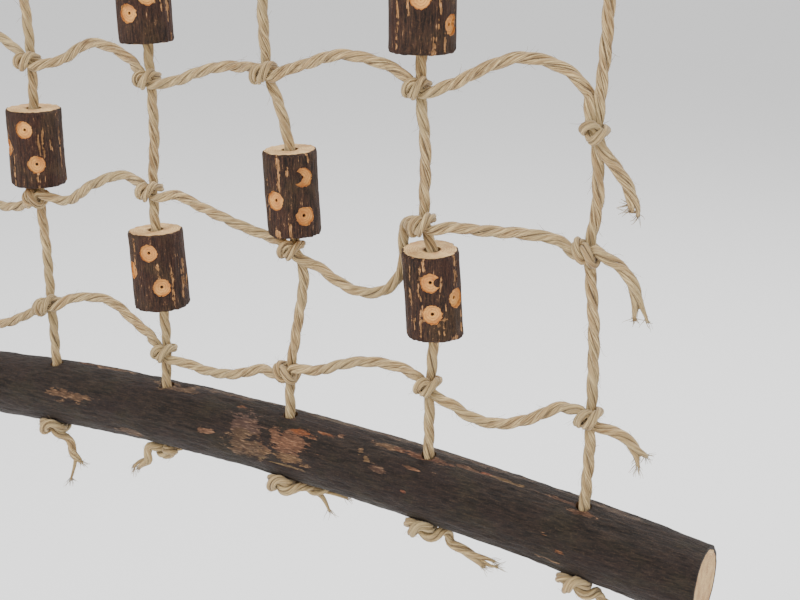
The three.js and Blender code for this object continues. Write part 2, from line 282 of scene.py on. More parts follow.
# The turns are drawn together along the cross rope, and towards the upright's middle.
DRAWN_IN, CENTRED = 0.74, 0.55
off = tight[:, :, 0] - post_at[:, :, 0]
run = np.linspace(0, 1, PULL_POINTS)
hold = np.clip(5 * np.minimum(run, 1 - run), 0, 1)
off -= CENTRED * (off * hold).sum(1, keepdims=True) / hold.sum() * hold
squeeze = DRAWN_IN + (1 - DRAWN_IN) * np.clip((np.abs(off) - 4) / 7, 0, 1)
tight[:, :, 0] = post_at[:, :, 0] + off * squeeze

# The stopper knots lie along the bars, above the top one and below the bottom one.
UPPER_TAILS = [(14, 4, 6), (-15, -4, 7), (15, -5, 5), (-15, 4, 6), (14, 5, 7), (-14, -4, 6)]
LOWER_TAILS = [(-17, -5, -5), (15, -6, -8), (-16, -6, -5), (20, 0, 1), (26, 0, -6), (15, -3, -3)]
stops, bar_axis, up_or_down = [], [], []
for level, tails in ((1, UPPER_TAILS), (-1, LOWER_TAILS)):
    for i, x in enumerate(UPRIGHT_X):
        axis = BAR_RADIUS - drop(x, TOP_BOW)
        if level < 0:
            axis = BOTTOM_BAR_TOP - BAR_RADIUS - drop(x, BOTTOM_BOW)
        face = axis + level * 12.4
        way = 1 if tails[i][0] > 0 else -1
        centre = np.array([x - 2.2 * way, 0.0, face + level * 4.3])
        leave = np.array([x, 0, face - level * 1.5])
        held = centre + np.array(tails[i]) * 10.5 / abs(tails[i][0])
        path = loose_half_knot((0, 0, 0), (0, 0, 0), (0, 0, 0), level * way, -1)[1:-1]
        path = (path + np.array([0, 3.5, 0])) * np.array([0.9 * way, 0.7, 0.9 * level]) + centre
        stops.append(np.vstack([[leave], path, [held]]))
        bar_axis.append((1.5, axis))
        up_or_down.append(level)
bar_axis = np.array(bar_axis)[:, None, :]
hole_x = np.array(UPRIGHT_X * 2)[:, None]


def clear_of_bar(rope):
    out = rope[:, :, 1:] - bar_axis
    far = np.linalg.norm(out, axis=-1, keepdims=True) + 1e-9
    in_hole = np.hypot(rope[:, :, 0] - hole_x, rope[:, :, 1])[..., None] < 1.6
    least = BAR_RADIUS + 1.75
    push = np.where((far < least) & ~in_hole, (least - far) / far, 0.0)
    rope = rope.copy()
    rope[:, :, 1:] += 0.6 * push * out
    return rope


STOPPER_GAP, STOPPER_GIRTH = 3.3, 0.9
pull = -0.06 * np.array(up_or_down)[:, None, None]
stoppers = pull_tight(stops, STOPPER_GAP, clear_of_bar, haul=pull)

# Each strand is a tube. Its ring turns with the strand, so that a cleft stays inside.
STRANDS, STRAND_RADIUS, STRAND_OFFSET, LAY_LENGTH = 3, 1.02, 0.98, 24.0
STRAND_SIDES, RING_STEP = 12, 0.95


def travelling_frame(line):
    """A pair of directions across the line at each point that turns as little as it can."""
    along = np.gradient(line, axis=0)
    along /= np.linalg.norm(along, axis=1, keepdims=True)
    start = np.cross(along[0], (0.3, 1, 0.2))
    across = [start / np.linalg.norm(start)]
    for k in range(1, len(line)):
        step = across[-1] - along[k] * (across[-1] @ along[k])
        across.append(step / np.linalg.norm(step))
    across = np.array(across)
    return along, across, np.cross(along, across)


class RopeMesh:
    """Collects the tubes of one piece of rope: its points, faces, UVs in mm and cleft values."""

    def __init__(self):
        self.points, self.corners, self.sizes, self.uvs, self.cleft = [], [], [], [], []
        self.total = 0

    def tube(self, rings, cleft, around, along):
        """rings is (count, sides, 3). Both ends are closed with a point."""
        count, sides = rings.shape[:2]
        start = self.total
        self.points += [rings.reshape(-1, 3), rings[0].mean(0)[None], rings[-1].mean(0)[None]]
        cleft = np.broadcast_to(cleft, (count, sides))
        self.cleft += [cleft.ravel(), [1, 1]]
        first, last = start + count * sides, start + count * sides + 1
        self.total = last + 1
        j = np.arange(sides)
        after = (j + 1) % sides
        near = start + np.arange(count - 1)[:, None] * sides
        quads = np.stack([near + j, near + after, near + sides + after, near + sides + j], -1)
        left, right = around * j / sides, around * (j + 1) / sides
        low, high = along[:-1, None] + 0 * left, along[1:, None] + 0 * left
        left, right = left + 0 * low, right + 0 * low
        quad_uvs = np.stack([left, low, right, low, right, high, left, high], -1)
        end = start + (count - 1) * sides
        caps = np.concatenate([
            np.stack([0 * j + first, start + after, start + j], -1),
            np.stack([0 * j + last, end + j, end + after], -1),
        ])
        self.corners += [quads.ravel(), caps.ravel()]
        self.sizes += [np.full((count - 1) * sides, 4), np.full(2 * sides, 3)]
        self.uvs += [quad_uvs.ravel()]
        self.uvs += [np.tile([0, level], 3 * sides) for level in (along[0], along[-1])]

    def make(self, name, material):
        mesh = bpy.data.meshes.new(name)
        points = np.vstack(self.points) + np.array([0, NET_FORWARD, NET_DATUM])
        corners, sizes = np.concatenate(self.corners), np.concatenate(self.sizes)
        mesh.vertices.add(len(points))
        mesh.vertices.foreach_set("co", (points * MM).astype(np.float32).ravel())
        mesh.loops.add(len(corners))
        mesh.loops.foreach_set("vertex_index", corners.astype(np.int32))
        mesh.polygons.add(len(sizes))
        mesh.polygons.foreach_set("loop_start", (np.cumsum(sizes) - sizes).astype(np.int32))
        mesh.update(calc_edges=True)
        layer = mesh.uv_layers.new(name="strand")
        layer.data.foreach_set("uv", np.concatenate(self.uvs).astype(np.float32))
        cleft = mesh.attributes.new("cleft", "FLOAT", "POINT")
        cleft.data.foreach_set("value", np.concatenate(self.cleft).astype(np.float32))
        mesh.polygons.foreach_set("use_smooth", [True] * len(mesh.polygons))
        mesh.materials.append(material)
        mesh.validate()
        piece = bpy.data.objects.new(name, mesh)
        bpy.context.collection.objects.link(piece)
        return piece


def fibre(mesh, start, way, length, radius, draw):
    """One loose fibre: a thin three-sided tube that wanders as it goes."""
    points = [start]
    for _ in range(4):
        way = way + draw.normal(0, 0.22, 3)
        way = way / np.linalg.norm(way)
        points.append(points[-1] + way * length / 4)
    line = np.array(points)
    along, across, over = travelling_frame(line)
    turn = np.radians([0, 120, 240])
    thin = radius * np.array([1, 1, 0.9, 0.7, 0.4])
    rings = line[:, None] + thin[:, None, None] * (
        np.cos(turn)[None, :, None] * across[:, None] + np.sin(turn)[None, :, None] * over[:, None]
    )
    mesh.tube(rings, np.ones(3), 0.3, np.linspace(0, length, 5))


def lay_strands(mesh, route, seed, cut=None, fray=(0, 0), fuzz=0.9):
    """Lays three strands along route, whose fourth column is the rope's girth, and adds them to
    mesh. cut is the stretch to keep, fray how far each end is opened."""
    draw = np.random.default_rng(seed)
    line, girth = route[:, :3], route[:, 3]
    along, across, over = travelling_frame(line)
    run = np.concatenate([[0], np.cumsum(np.linalg.norm(np.diff(line, axis=0), axis=1))])
    total = run[-1]
    open_ = np.zeros(len(run))
    for k, length in enumerate(fray):
        if length:
            far = run if k == 0 else total - run
            open_ = np.maximum(open_, np.clip(1 - far / length, 0, 1))
    start_phase = draw.uniform(0, 2 * math.pi)
    low, high = cut or (0, len(run))
    turn = np.arange(STRAND_SIDES) / STRAND_SIDES * 2 * math.pi
    for s in range(STRANDS):
        phase = start_phase + s * 2 * math.pi / STRANDS - 2 * math.pi * run / LAY_LENGTH
        phase += 0.15 * np.sin(run / 11.0 + draw.uniform(0, 6))
        out = np.cos(phase)[:, None] * across + np.sin(phase)[:, None] * over
        stray = draw.normal(0, 1, 3)
        spread = STRAND_OFFSET * girth * (1 + 0.9 * open_**1.5)
        middle = line + out * spread[:, None] + 2.2 * (open_**2)[:, None] * stray
        short, long_ = np.sin(run / 1.9 + draw.uniform(0, 6)), np.sin(run / 5.3 + draw.uniform(0, 6))
        radius = STRAND_RADIUS * girth * (1 + 0.035 * short * long_) * (1 - 0.62 * open_**1.3)
        way = np.gradient(middle, axis=0)
        way /= np.linalg.norm(way, axis=1, keepdims=True)
        side = np.cross(way, out)
        side /= np.linalg.norm(side, axis=1, keepdims=True)
        proud = np.cross(side, way)
        opened = fray[0] and low == 0, fray[1] and high == len(run)
        last = high - int(draw.integers(0, 5)) if opened[1] else high
        first = low + int(draw.integers(0, 5)) if opened[0] else low
        keep = slice(first, last)
        rings = middle[keep, None] + radius[keep, None, None] * (
            -0.95 * np.cos(turn)[None, :, None] * proud[keep, None]
            + 1.04 * np.sin(turn)[None, :, None] * side[keep, None]
        )
        # The cleft value sets where the flax shader paints shade between the strands; an opened end gets
        # none.
        shut = 1 - np.clip(2.5 * open_[keep], 0, 1)[:, None]
        cleft = 1 + shut * (-np.cos(turn)[None] - 1)
        mesh.tube(rings, cleft, 2 * math.pi * STRAND_RADIUS, run[keep] + 400 * s)
        for k in range(first, last):
            if draw.random() < fuzz * (run[1] - run[0]) / STRANDS:
                angle = draw.uniform(-1.3, 1.3)
                normal = math.cos(angle) * proud[k] + math.sin(angle) * side[k]
                lean = way[k] * draw.choice([-1, 1]) + normal * draw.uniform(0.05, 0.55)
                lean += side[k] * draw.normal(0, 0.25)
                begin = middle[k] + normal * radius[k] * 0.93
                fibre(mesh, begin, lean, draw.uniform(1.2, 4.2), draw.uniform(0.03, 0.055), draw)
        for end, at in ((0, first), (1, last - 1)):
            if opened[end]:
                outward = way[at] * (-1 if end == 0 else 1)
                for _ in range(16):
                    lean = outward + draw.normal(0, 0.16, 3)
                    begin = middle[at] - outward * 1.5 + draw.normal(0, 0.22, 3)
                    fibre(mesh, begin, lean, draw.uniform(2, 5.5), draw.uniform(0.07, 0.16), draw)


class Nodes:
    """A new material, and short words for putting its shader nodes together."""

    def __init__(self, name):
        self.material = bpy.data.materials.new(name)
        self.material.use_nodes = True
        self.tree = self.material.node_tree
        self.shader = self.tree.nodes["Principled BSDF"]

    def feed(self, socket, source):
        if isinstance(source, bpy.types.NodeSocket):
            self.tree.links.new(source, socket)
        else:
            socket.default_value = source

    def add(self, kind, links=(), **values):
        node = self.tree.nodes.new("ShaderNode" + kind)
        for key, value in values.items():
            setattr(node, key, value)
        for socket, source in dict(links).items():
            self.feed(node.inputs[socket], source)
        return node

    def set(self, **sockets):
        for name, source in sockets.items():
            self.feed(self.shader.inputs[name.replace("_", " ")], source)

    def place(self):
        return self.add("TexCoord").outputs["Object"]

    def value(self, name, output="Fac"):
        return self.add("Attribute", attribute_name=name).outputs[output]

    def noise(self, vector, scale, detail=3.0, rough=0.55):
        links = {"Vector": vector, "Scale": scale, "Detail": detail, "Roughness": rough}
        return self.add("TexNoise", links).outputs["Fac"]

    def stretch(self, vector, scale):
        return self.add("Mapping", {"Vector": vector, "Scale": scale}).outputs["Vector"]

    def math(self, operation, a, b=0.5):
        return self.add("Math", {0: a, 1: b}, operation=operation).outputs[0]

    def spread(self, value, low, high, to_low=0.0, to_high=1.0):
        links = {"Value": value, "From Min": low, "From Max": high, "To Min": to_low, "To Max": to_high}
        return self.add("MapRange", links).outputs["Result"]

    def mix(self, share, a, b):
        a, b = (paint(*colour) if isinstance(colour, tuple) else colour for colour in (a, b))
        return self.add("Mix", {0: share, 6: a, 7: b}, data_type="RGBA").outputs[2]

    def bump(self, height, distance, strength=1.0):
        links = {"Height": height, "Distance": distance, "Strength": strength}
        return self.add("Bump", links).outputs["Normal"]


def paint(red, green, blue):
    """A colour on screen, 0 to 255, as the shader's linear colour."""
    return tuple(((c / 255 + 0.055) / 1.055) ** 2.4 if c > 10 else c / 255 / 12.92
                 for c in (red, green, blue)) + (1.0,)


# Flax: pale straw strands, with painted shade in the clefts between them, and fine fibres along each
# strand.
n = Nodes("flax_rope")
flax = n.material
strand_uv = n.add("UVMap", uv_map="strand").outputs["UV"]
fine = n.noise(n.stretch(strand_uv, (2.6, 0.16, 1)), 1.0, 5.0, 0.65)
coarse = n.noise(n.stretch(strand_uv, (0.9, 0.05, 1)), 1.0, 2.0)
patchy = n.noise(n.place(), 55.0, 3.0)
# Painted shade: the colour darkens towards the clefts between the strands, by the cleft value.
clear_of_cleft_shade = n.spread(n.value("cleft"), -0.8, 0.1)
straw = n.mix(n.spread(fine, 0.4, 0.6), (84, 60, 34), (200, 174, 126))
straw = n.mix(n.spread(coarse, 0.42, 0.62, 0.0, 0.65), straw, (140, 110, 72))
straw = n.mix(n.spread(patchy, 0.45, 0.62, 0.0, 0.45), straw, (150, 132, 94))
n.set(
    # The straw, with painted cleft shade (74, 54, 34) between the strands.
    Base_Color=n.mix(clear_of_cleft_shade, (74, 54, 34), straw),
    Roughness=n.spread(fine, 0.2, 0.8, 0.78, 0.95),
    Sheen_Weight=0.15,
    Specular_IOR_Level=0.3,
    Normal=n.bump(fine, 0.0003, 1.0),
)

# The cross ropes, whole, each with a short frayed end beyond its outer knots.
KNOT_GIRTH = 0.78
for r, route in enumerate(cross_routes):
    whole = np.column_stack([route, np.ones(len(route))])
    parts, at = [], 0
    for (row, low, high), knot in zip(knot_spans, tight):
        if row == r:
            run = np.linspace(0, 1, len(knot))
            girth = 1 - (1 - KNOT_GIRTH) * np.clip(6 * np.minimum(run, 1 - run) - 0.3, 0, 1)
            parts += [whole[at:low], np.column_stack([knot, girth])]
            at = high + 1
    path = np.vstack(parts + [whole[at:]])
    for _ in range(3):
        path[1:-1] = 0.5 * path[1:-1] + 0.25 * (path[:-2] + path[2:])
    mesh = RopeMesh()
    lay_strands(mesh, evenly(path, RING_STEP), 20 + r, fray=(6, 6))
    name = f"cross_rope_{r + 1}"
    rope = mesh.make(f"flax_{name}", flax)
    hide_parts(name)
    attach(rope, "upper_net" if r == 0 else "net")

# The uprights, each in four pieces that meet inside knots.
FOLDS = [
    ("top_bar", "upper_net", -70, -82),
    ("upper_net", "net", -117, -131),
    ("net", None, 0, 0),
    ("net", "bottom_bar", -310.5, -316.5),
]
for i, route in enumerate(upright_routes):
    girth = np.ones(len(route))
    for row in KNOTS:
        girth -= 0.13 * np.exp(-((route[:, 2] - row[i][1]) ** 2) / 18)
    middle = np.column_stack([route, girth])
    for end, stopper in ((0, stoppers[i]), (1, stoppers[6 + i])):
        tail = (UPPER_TAILS if end == 0 else LOWER_TAILS)[i]
        share = np.linspace(0.06, 1, 14)[:, None]
        droop = np.array([0, 0, -1 if end == 1 else 1]) * share**2 * 1.5
        beyond = stopper[-1] + share * np.array(tail) * (1 - 8.5 / abs(tail[0])) + droop
        stop = np.vstack([stopper, beyond])
        run = np.linspace(0, 1, len(stop))
        girth = 1 - (1 - STOPPER_GIRTH) * np.clip(8 * np.minimum(run, 1 - run), 0, 1)
        stop = np.column_stack([stop, girth])
        face = stopper[0][2]
        if end == 0:
            middle = np.vstack([stop[::-1], middle[middle[:, 2] < face - 0.5]])
        else:
            middle = np.vstack([middle[middle[:, 2] > face + 0.5], stop])
    for _ in range(3):
        middle[1:-1] = 0.5 * middle[1:-1] + 0.25 * (middle[:-2] + middle[2:])
    path = evenly(middle, RING_STEP)
    cuts = [0]
    for row in (KNOTS[0], KNOTS[1], KNOTS[4]):
        inside = np.abs(path[:, 0] - UPRIGHT_X[i]) < 12
        cuts.append(int(np.argmin(np.abs(path[:, 2] - row[i][1]) + 100 * ~inside)))
    cuts.append(len(path))
    for part, (upper, lower, high, low) in enumerate(FOLDS):
        mesh = RopeMesh()
        fray = (9 if part == 0 else 0, 9 if part == 3 else 0)
        cut = (cuts[part], min(cuts[part + 1] + 1, len(path)))
        lay_strands(mesh, path, 40 + i, cut, fray)
        rope = mesh.make(f"flax_upright_{i + 1}_{part + 1}", flax)
        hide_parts(f"upright_rope_{i + 1}")
        if lower:
            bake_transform(rope)
        else:
            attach(rope, upper)

# ---------------------------------------------------------------------------------------------
# The bars are 25 mm branches with their bark on, sawn to 360 mm and drilled through for the six
# ropes. The bark is dark and furrowed, and rubbed down to the red bast or the wood in places.
# ---------------------------------------------------------------------------------------------
BAR_LENGTH, BAR_SIDES, BAR_CUTS, HOLE_RADIUS = 360.0, 120, (95, 4), 2.6
BAR_END = ((0.3, 0.25), (1.1, -0.05), (3, 0), (3, 0), (3, 0))
TOP_AXIS, BOTTOM_AXIS = -47.5, -330.0
SCREW_X, PILOT_RADIUS, PILOT_DEPTH = (-108, 108), 1.3, 14.0


def hold_only(pieces):
    """Selects the pieces and nothing else, with the first as the active one."""
    bpy.ops.object.select_all(action="DESELECT")
    for one in pieces:
        one.select_set(True)
    bpy.context.view_layer.objects.active = pieces[0]


def edit(piece, kind, chosen, operation, **values):
    """Runs an edit mode operation on the chosen vertices, edges or polygons of the piece."""
    hold_only([piece])
    mesh = piece.data
    for group in (mesh.vertices, mesh.edges, mesh.polygons):
        group.foreach_set("select", [False] * len(group))
    getattr(mesh, kind).foreach_set("select", [bool(one) for one in chosen])
    order = ("vertices", "edges", "polygons")
    bpy.context.tool_settings.mesh_select_mode = tuple(kind == word for word in order)
    bpy.ops.object.mode_set(mode="EDIT")
    operation(**values)
    bpy.ops.object.mode_set(mode="OBJECT")


def inset_caps(piece, is_cap, steps):
    """Insets the piece's end faces once for each thickness and depth, in mm."""
    for thickness, depth in steps:
        caps = [is_cap(face) for face in piece.data.polygons]
        edit(piece, "polygons", caps, bpy.ops.mesh.inset, thickness=thickness * MM, depth=depth * MM)


def face_outwards(piece):
    everything = [True] * len(piece.data.polygons)
    edit(piece, "polygons", everything, bpy.ops.mesh.normals_make_consistent, inside=False)


def corners(piece):
    """The piece's vertices in mm."""
    flat = np.empty(len(piece.data.vertices) * 3, np.float32)
    piece.data.vertices.foreach_get("co", flat)
    return flat.reshape(-1, 3).astype(float) / MM


def move_corners(piece, points):
    piece.data.vertices.foreach_set("co", (points * MM).astype(np.float32).ravel())
    piece.data.update()


def edges_along(piece, axis, least):
    """Which edges run along the axis and are longer than least, in mm."""
    points = corners(piece)
    ends = np.array([tuple(edge.vertices) for edge in piece.data.edges])
    run = points[ends[:, 1]] - points[ends[:, 0]]
    length = np.linalg.norm(run, axis=1)
    return (np.abs(run[:, axis]) > 0.99 * length) & (length > least)


def drill(piece, cutter):
    """Cuts the cutter out of the piece. What it bares takes the cutter's material."""
    hold_only([piece])
    bpy.ops.object.modifier_add(type="BOOLEAN")
    cut = piece.modifiers[-1]
    cut.operation, cut.solver, cut.object = "DIFFERENCE", "EXACT", cutter
    cut.material_mode = "TRANSFER"
    bpy.ops.object.modifier_apply(modifier=cut.name)
    bpy.data.objects.remove(cutter)


def join(pieces):
    hold_only(pieces)
    if len(pieces) > 1:
        bpy.ops.object.join()
    return bpy.context.object


def settle(piece, name, smooth=40):
    """Names the piece, puts its place into its mesh and smooths all but its sharp edges."""
    hold_only([piece])
    bpy.ops.object.transform_apply(location=True, rotation=True, scale=True)
    bpy.ops.object.shade_smooth_by_angle(angle=math.radians(smooth))
    piece.name = piece.data.name = name


def ripple(x, y, z=0.0):
    """Smooth noise of about -1 to 1 at each point."""
    z = np.broadcast_to(z, np.shape(x))
    return np.array([noise.noise(Vector(p)) for p in np.stack([x, y, z], -1).tolist()])


def bark_finish(name, along, base, mottle, furrow, rag):
    """Bark: lengthwise furrows and fibres, mottled, with rubbed patches and any painted sheen band among
    them, from the worn and tint attributes.
    """
    n = Nodes(name)
    place = n.place()

    def streaks(across, length):
        return n.stretch(place, [length if k == along else across for k in range(3)])

    furrows = n.noise(streaks(950, 110), 1.0, 5.0, 0.65)
    fibres = n.noise(streaks(2300, 330), 1.0, 4.0, 0.7)
    specks = n.noise(place, 1500.0, 3.0, 0.7)
    broad = n.noise(streaks(95, 30), 1.0, 3.0)
    green = n.noise(n.stretch(place, (70, 90, 110)), 1.0, 3.0)
    colour = n.mix(n.spread(furrows, 0.36, 0.62), furrow, base)
    colour = n.mix(n.spread(broad, 0.4, 0.62, 0.0, 0.7), colour, mottle[0])
    colour = n.mix(n.spread(green, 0.5, 0.66, 0.0, 0.6), colour, mottle[1])
    colour = n.mix(n.spread(specks, 0.52, 0.72, 0.0, 0.5), colour, mottle[2])
    colour = n.mix(n.spread(fibres, 0.36, 0.52, 0.8, 0.0), colour, (16, 12, 10))
    colour = n.mix(n.spread(fibres, 0.56, 0.72, 0.0, 0.5), colour, mottle[2])
    ragged = n.value("worn")
    for pattern, weight in ((furrows, rag[0]), (fibres, rag[1]), (specks, rag[2])):
        ragged = n.math("ADD", ragged, n.math("MULTIPLY", n.math("SUBTRACT", pattern, 0.5), weight))
    shown = n.spread(ragged, 0.42, 0.56)
    cloudy = n.noise(streaks(420, 190), 1.0, 4.0, 0.65)
    shade = n.mix(n.spread(cloudy, 0.38, 0.62, 0.55, 0.0), n.value("tint", "Color"), (58, 38, 28))
    shade = n.mix(n.spread(fibres, 0.36, 0.56, 0.75, 0.0), shade, (52, 34, 24))
    shade = n.mix(n.spread(fibres, 0.55, 0.72, 0.0, 0.35), shade, (214, 168, 128))
    height = n.math("ADD", furrows, n.math("MULTIPLY", fibres, 0.45))
    height = n.math("ADD", height, n.math("MULTIPLY", specks, 0.2))
    n.set(
        Base_Color=n.mix(shown, colour, shade),
        Roughness=n.spread(furrows, 0.3, 0.7, 0.78, 0.58),
        Specular_IOR_Level=0.22,
        Normal=n.bump(height, 0.0011, 1.0),
    )
    return n.material


def wood_finish():
    """Cut wood: pale and fine-grained, more orange where it is freshly drilled, with fine rings
    and dark pores."""
    n = Nodes("cut_wood")
    place = n.place()
    swayed = n.math("ADD", n.value("ring"), n.noise(place, 420.0, 2.0))
    waves = n.math("SINE", n.math("MULTIPLY", swayed, 7.5))
    pores = n.noise(place, 2400.0, 3.0, 0.7)
    cloud = n.noise(place, 260.0, 3.0)
    pale = n.mix(n.spread(cloud, 0.35, 0.65), (176, 136, 84), (212, 178, 120))
    orange = n.mix(n.spread(cloud, 0.35, 0.65), (176, 110, 44), (208, 150, 74))
    colour = n.mix(n.value("fresh"), pale, orange)
    colour = n.mix(n.spread(waves, 0.1, 1.0, 0.0, 0.5), colour, (146, 88, 46))
    colour = n.mix(n.spread(pores, 0.56, 0.68, 0.0, 0.7), colour, (104, 66, 38))
    n.set(
        # Darker where the darkening attribute says: inside the drilled holes, and a little on the bar's
        # sawn ends.
        Base_Color=n.mix(n.value("burnt"), colour, (52, 32, 20)),
        Roughness=n.spread(pores, 0.3, 0.7, 0.6, 0.8),
        Normal=n.bump(n.math("ADD", n.math("MULTIPLY", waves, 0.2), pores), 0.00025, 0.7),
    )
    return n.material


BAR_MOTTLE = [(38, 26, 23), (42, 36, 24), (72, 56, 42)]
bar_bark = bark_finish("bar_bark", 0, (45, 33, 25), BAR_MOTTLE, (16, 11, 8), (1.5, 1.0, 0.6))
cut_wood = wood_finish()

# Rubbed places: along, degrees round from the front, half length, half degrees, colour. The long pale band
# over the top, (60, 108, 90, 13), is painted sheen where light falls along the top, over a real lighter,
# smoother strip.
PATCHES = [
    (14, 38, 9, 24, (112, 82, 74)), (16, 4, 13, 22, (116, 86, 64)), (33, 30, 9.5, 28, (158, 104, 78)),
    (33, 1, 9, 9, (152, 110, 76)), (36.5, 54, 4.5, 8, (184, 98, 50)), (33, -11.5, 10, 3.4, (164, 128, 86)),
    (-3, 104, 18, 14, (116, 90, 74)), (8, 72, 2.5, 5, (152, 90, 54)), (-3, 13, 4, 9, (172, 118, 90)),
    (46.5, 61, 4, 5, (172, 94, 50)), (51, 66, 2.5, 5, (146, 100, 78)), (69, 73, 10, 7, (138, 100, 72)),
    (61, 50, 1.8, 8, (156, 116, 80)), (64, 40, 1.6, 6, (156, 116, 80)), (70, 28, 5, 6, (104, 74, 62)),
    (81, 47, 4, 3.5, (168, 112, 84)), (80, 7, 1.5, 4, (148, 78, 56)), (84, 74, 11, 7, (122, 72, 50)),
    (102, 80, 13, 4, (126, 86, 64)), (106, 82, 2.5, 2.5, (160, 74, 46)), (115, 80, 7, 3, (136, 102, 60)),
    (133, 80, 9, 3.5, (112, 72, 52)), (131, 16, 1.5, 3, (156, 90, 48)), (136.5, -2, 1.8, 3, (156, 90, 48)),
    # The pale band at 108 degrees, (60, 108, 90, 13), is painted sheen along the top.
    (133, -24, 6, 2.2, (182, 138, 104)), (140, 66, 6, 5, (118, 76, 54)), (60, 108, 90, 13, (96, 80, 70)),
    (28, 74, 4, 5, (60, 36, 26)), (45, 100, 10, 8, (110, 92, 76)), (150, 100, 12, 10, (102, 84, 72)),
]
draw = np.random.default_rng(7)
REDS = [(158, 104, 78), (116, 86, 64), (164, 112, 84), (140, 100, 72), (120, 76, 56), (168, 104, 64)]


def stray_patches(count, low, high, first, last):
    return [
        (draw.uniform(low, high), draw.uniform(first, last), draw.uniform(3, 13), draw.uniform(4, 20),
         REDS[draw.integers(len(REDS))])
        for _ in range(count)
    ]


def branch(name, axis, bow, patches, seed):
    """A length of branch with its bark relief, before it is drilled."""
    bpy.ops.mesh.primitive_cylinder_add(
        vertices=BAR_SIDES, radius=BAR_RADIUS * MM, depth=BAR_LENGTH * MM, rotation=(0, math.pi / 2, 0)
    )
    bar = bpy.context.object
    settle(bar, name)
    for cuts, least in zip(BAR_CUTS, (100, 1)):
        edit(bar, "edges", edges_along(bar, 0, least), bpy.ops.mesh.subdivide, number_cuts=cuts)
    inset_caps(bar, lambda face: len(face.vertices) > 20, BAR_END)
    bar.data.materials.append(bar_bark)
    bar.data.materials.append(cut_wood)
    points = corners(bar)
    x, y, z = points.T
    radius, round_ = np.hypot(y, z), np.arctan2(z, -y)
    across = np.cos(round_) * BAR_RADIUS, np.sin(round_) * BAR_RADIUS
    relief = 0.45 * ripple(x / 34, across[0] / 16, across[1] / 16 + seed)
    relief += 0.34 * ripple(x / 13, across[0] / 2.4, across[1] / 2.4 + seed)
    relief += 0.24 * ripple(x / 3.5, across[0] / 1.1, across[1] / 1.1 + seed)
    worn, _ = wear_and_sheen(x, round_, patches)
    relief -= 0.22 * worn + 0.15
    scale = 1 + relief / BAR_RADIUS
    y, z = y * scale, z * scale
    move_corners(bar, np.stack([x, y, axis + z - drop(x, bow)], -1))
    for face in bar.data.polygons:
        fx, fy, fz = face.center / MM
        inside = math.hypot(fy, fz - axis + drop(fx, bow)) < BAR_RADIUS - 1.3
        sawn = inside or (abs(fx) > 170 and len(face.vertices) != 4)
        if abs(face.normal[0]) > 0.9 and sawn:
            face.material_index = 1
    return bar


def wear_and_sheen(x, round_, patches):
    """How far each point is rubbed bare or carries painted sheen, 0 to 1, and the colour that shows there.
    """
    worn, tint = np.zeros(len(x)), np.tile(np.array(paint(84, 62, 48)[:3]), (len(x), 1))
    ragged = 0.5 * ripple(x / 5, np.sin(round_) * 6, np.cos(round_) * 6)
    ragged += 0.3 * ripple(x / 2, np.sin(round_) * 12, np.cos(round_) * 12 + 9)
    for along, degrees, half, half_degrees, colour in patches:
        turned = np.degrees(round_) - degrees
        turned = (turned + 180) % 360 - 180
        far = np.hypot((x - along) / half, turned / half_degrees)
        share = np.clip((1.25 - far + ragged) / 0.8, 0, 1)
        worn = np.maximum(worn, 0.8 * share)
        held = np.clip(3 * share, 0, 1)[:, None]
        tint += held * (0.5 * np.array(paint(*colour)[:3]) * (0.9, 1.0, 0.95) - tint)
    return worn, tint


def mark(piece, **values):
    """Writes one value or colour for each vertex."""
    for name, value in values.items():
        if np.ndim(value) == 2:
            layer = piece.data.attributes.new(name, "FLOAT_COLOR", "POINT")
            colours = np.column_stack([value, np.ones(len(value))])
            layer.data.foreach_set("color", colours.astype(np.float32).ravel())
        else:
            layer = piece.data.attributes.new(name, "FLOAT", "POINT")
            layer.data.foreach_set("value", np.asarray(value, np.float32))


def hole_cutter(x, y, z, radius, depth, sides=40):
    bpy.ops.mesh.primitive_cylinder_add(
        vertices=sides, radius=radius * MM, depth=depth * MM, location=(x * MM, y * MM, z * MM)
    )
    cutter = bpy.context.object
    cutter.data.materials.append(cut_wood)
    bpy.ops.object.transform_apply(location=True, rotation=True, scale=True)
    return cutter


for name, axis, bow, patches, seed in (
    ("top_bar", TOP_AXIS, TOP_BOW, stray_patches(34, -175, 175, -180, 180), 31),
    ("bottom_bar", BOTTOM_AXIS, BOTTOM_BOW,
     stray_patches(16, -178, -12, -60, 200) + stray_patches(12, 0, 178, 130, 300) + PATCHES, 57),
):
    bar = branch("bark_" + name, axis, bow, patches, seed)
    cutters = [
        hole_cutter(x, NET_FORWARD, axis - drop(x, bow), HOLE_RADIUS, 40) for x in UPRIGHT_X
    ]
    if name == "top_bar":
        for x in SCREW_X:
            crest = axis - drop(x, bow) + BAR_RADIUS
            cutters.append(hole_cutter(x, 0, crest - PILOT_DEPTH + 20, PILOT_RADIUS, 40, 24))
    drill(bar, join(cutters))
    x, y, z = corners(bar).T
    z = z - axis + drop(x, bow)
    worn, tint = wear_and_sheen(x, np.arctan2(z, -y), patches)
    near_hole = np.min([np.hypot(x - hole, y - NET_FORWARD) for hole in UPRIGHT_X], axis=0)
    # Darker on the walls of the rope holes, and a little on the sawn ends.
    burnt = np.clip(1.3 - np.abs(near_hole - HOLE_RADIUS), 0, 1) * 0.8
    burnt = np.where(near_hole < HOLE_RADIUS + 0.6, burnt, 0.12)
    mark(bar, worn=worn, tint=tint, ring=np.hypot(y, z), fresh=0 * x, burnt=burnt)
    settle(bar, "bark_" + name)
    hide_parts(name)
    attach(bar, name)

